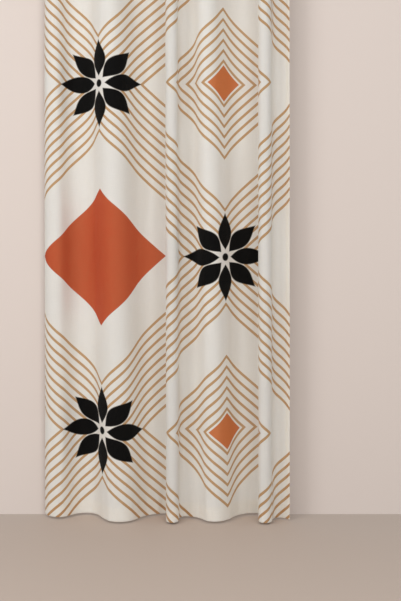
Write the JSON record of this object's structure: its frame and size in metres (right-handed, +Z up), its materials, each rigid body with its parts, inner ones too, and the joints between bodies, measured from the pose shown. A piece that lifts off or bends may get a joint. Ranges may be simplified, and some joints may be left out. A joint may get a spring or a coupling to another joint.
{
  "type": "printed curtain",
  "caption": "Full-length printed curtain panel hanging in uneven soft folds, with turned hems and a gathering tape behind its top edge.",
  "frame": {"origin": "middle of the curtain's top edge", "axes": "+Z up along the drop, X along the hung width, printed side facing -Y into the room, wall side +Y"},
  "size_m": [0.8846, 0.1253, 2.6],
  "materials": {
    "printed_cloth": "matt plain-woven polyester with a printed pattern on its front",
    "tape_weave": "plain woven narrow tape, undyed"
  },
  "bodies": {
    "root": {"curtain_panel": "printed_cloth", "heading_tape": "tape_weave"}
  },
  "joints": []
}
